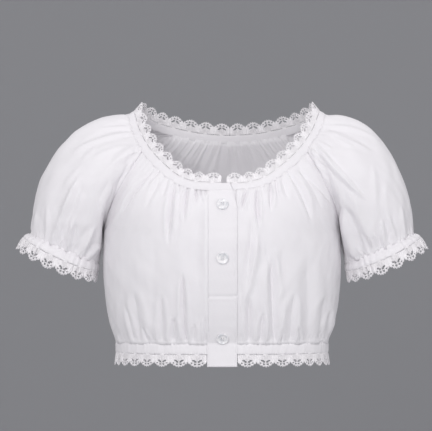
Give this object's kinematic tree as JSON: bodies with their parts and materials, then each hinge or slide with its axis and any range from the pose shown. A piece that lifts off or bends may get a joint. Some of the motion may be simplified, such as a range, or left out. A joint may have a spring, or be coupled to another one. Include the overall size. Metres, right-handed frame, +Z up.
{
  "type": "dirndl blouse",
  "caption": "Short hollow blouse with a wide gathered neckline, raglan puff sleeves, a lapped button placket and scalloped lace edging, shaped as if worn.",
  "frame": {"origin": "between the tops of the shoulders, where the wearer carries the blouse", "axes": "+Z up, the wearer faces -Y, +X towards the wearer's left"},
  "size_m": [0.5678, 0.2431, 0.3634],
  "materials": {
    "cotton": "plain-woven white cotton, matt",
    "band": "the same cotton folded double and pressed",
    "lace": "white cotton bobbin lace with scalloped edge",
    "pearl": "pearly button, satin gloss"
  },
  "bodies": {
    "root": {"front_left": "cotton", "front_right": "cotton", "back": "cotton", "sleeve_left": "cotton", "sleeve_right": "cotton", "neck_binding": "band", "placket_top": "band", "placket_under": "band", "hem_band": "band", "cuff_left": "band", "cuff_right": "band", "neck_lace_left": "lace", "neck_lace_right": "lace", "hem_lace_left": "lace", "hem_lace_right": "lace", "cuff_lace_left_front": "lace", "cuff_lace_left_back": "lace", "cuff_lace_right_front": "lace", "cuff_lace_right_back": "lace", "button_top": "pearl", "button_middle": "pearl", "button_bottom": "pearl"}
  },
  "joints": []
}
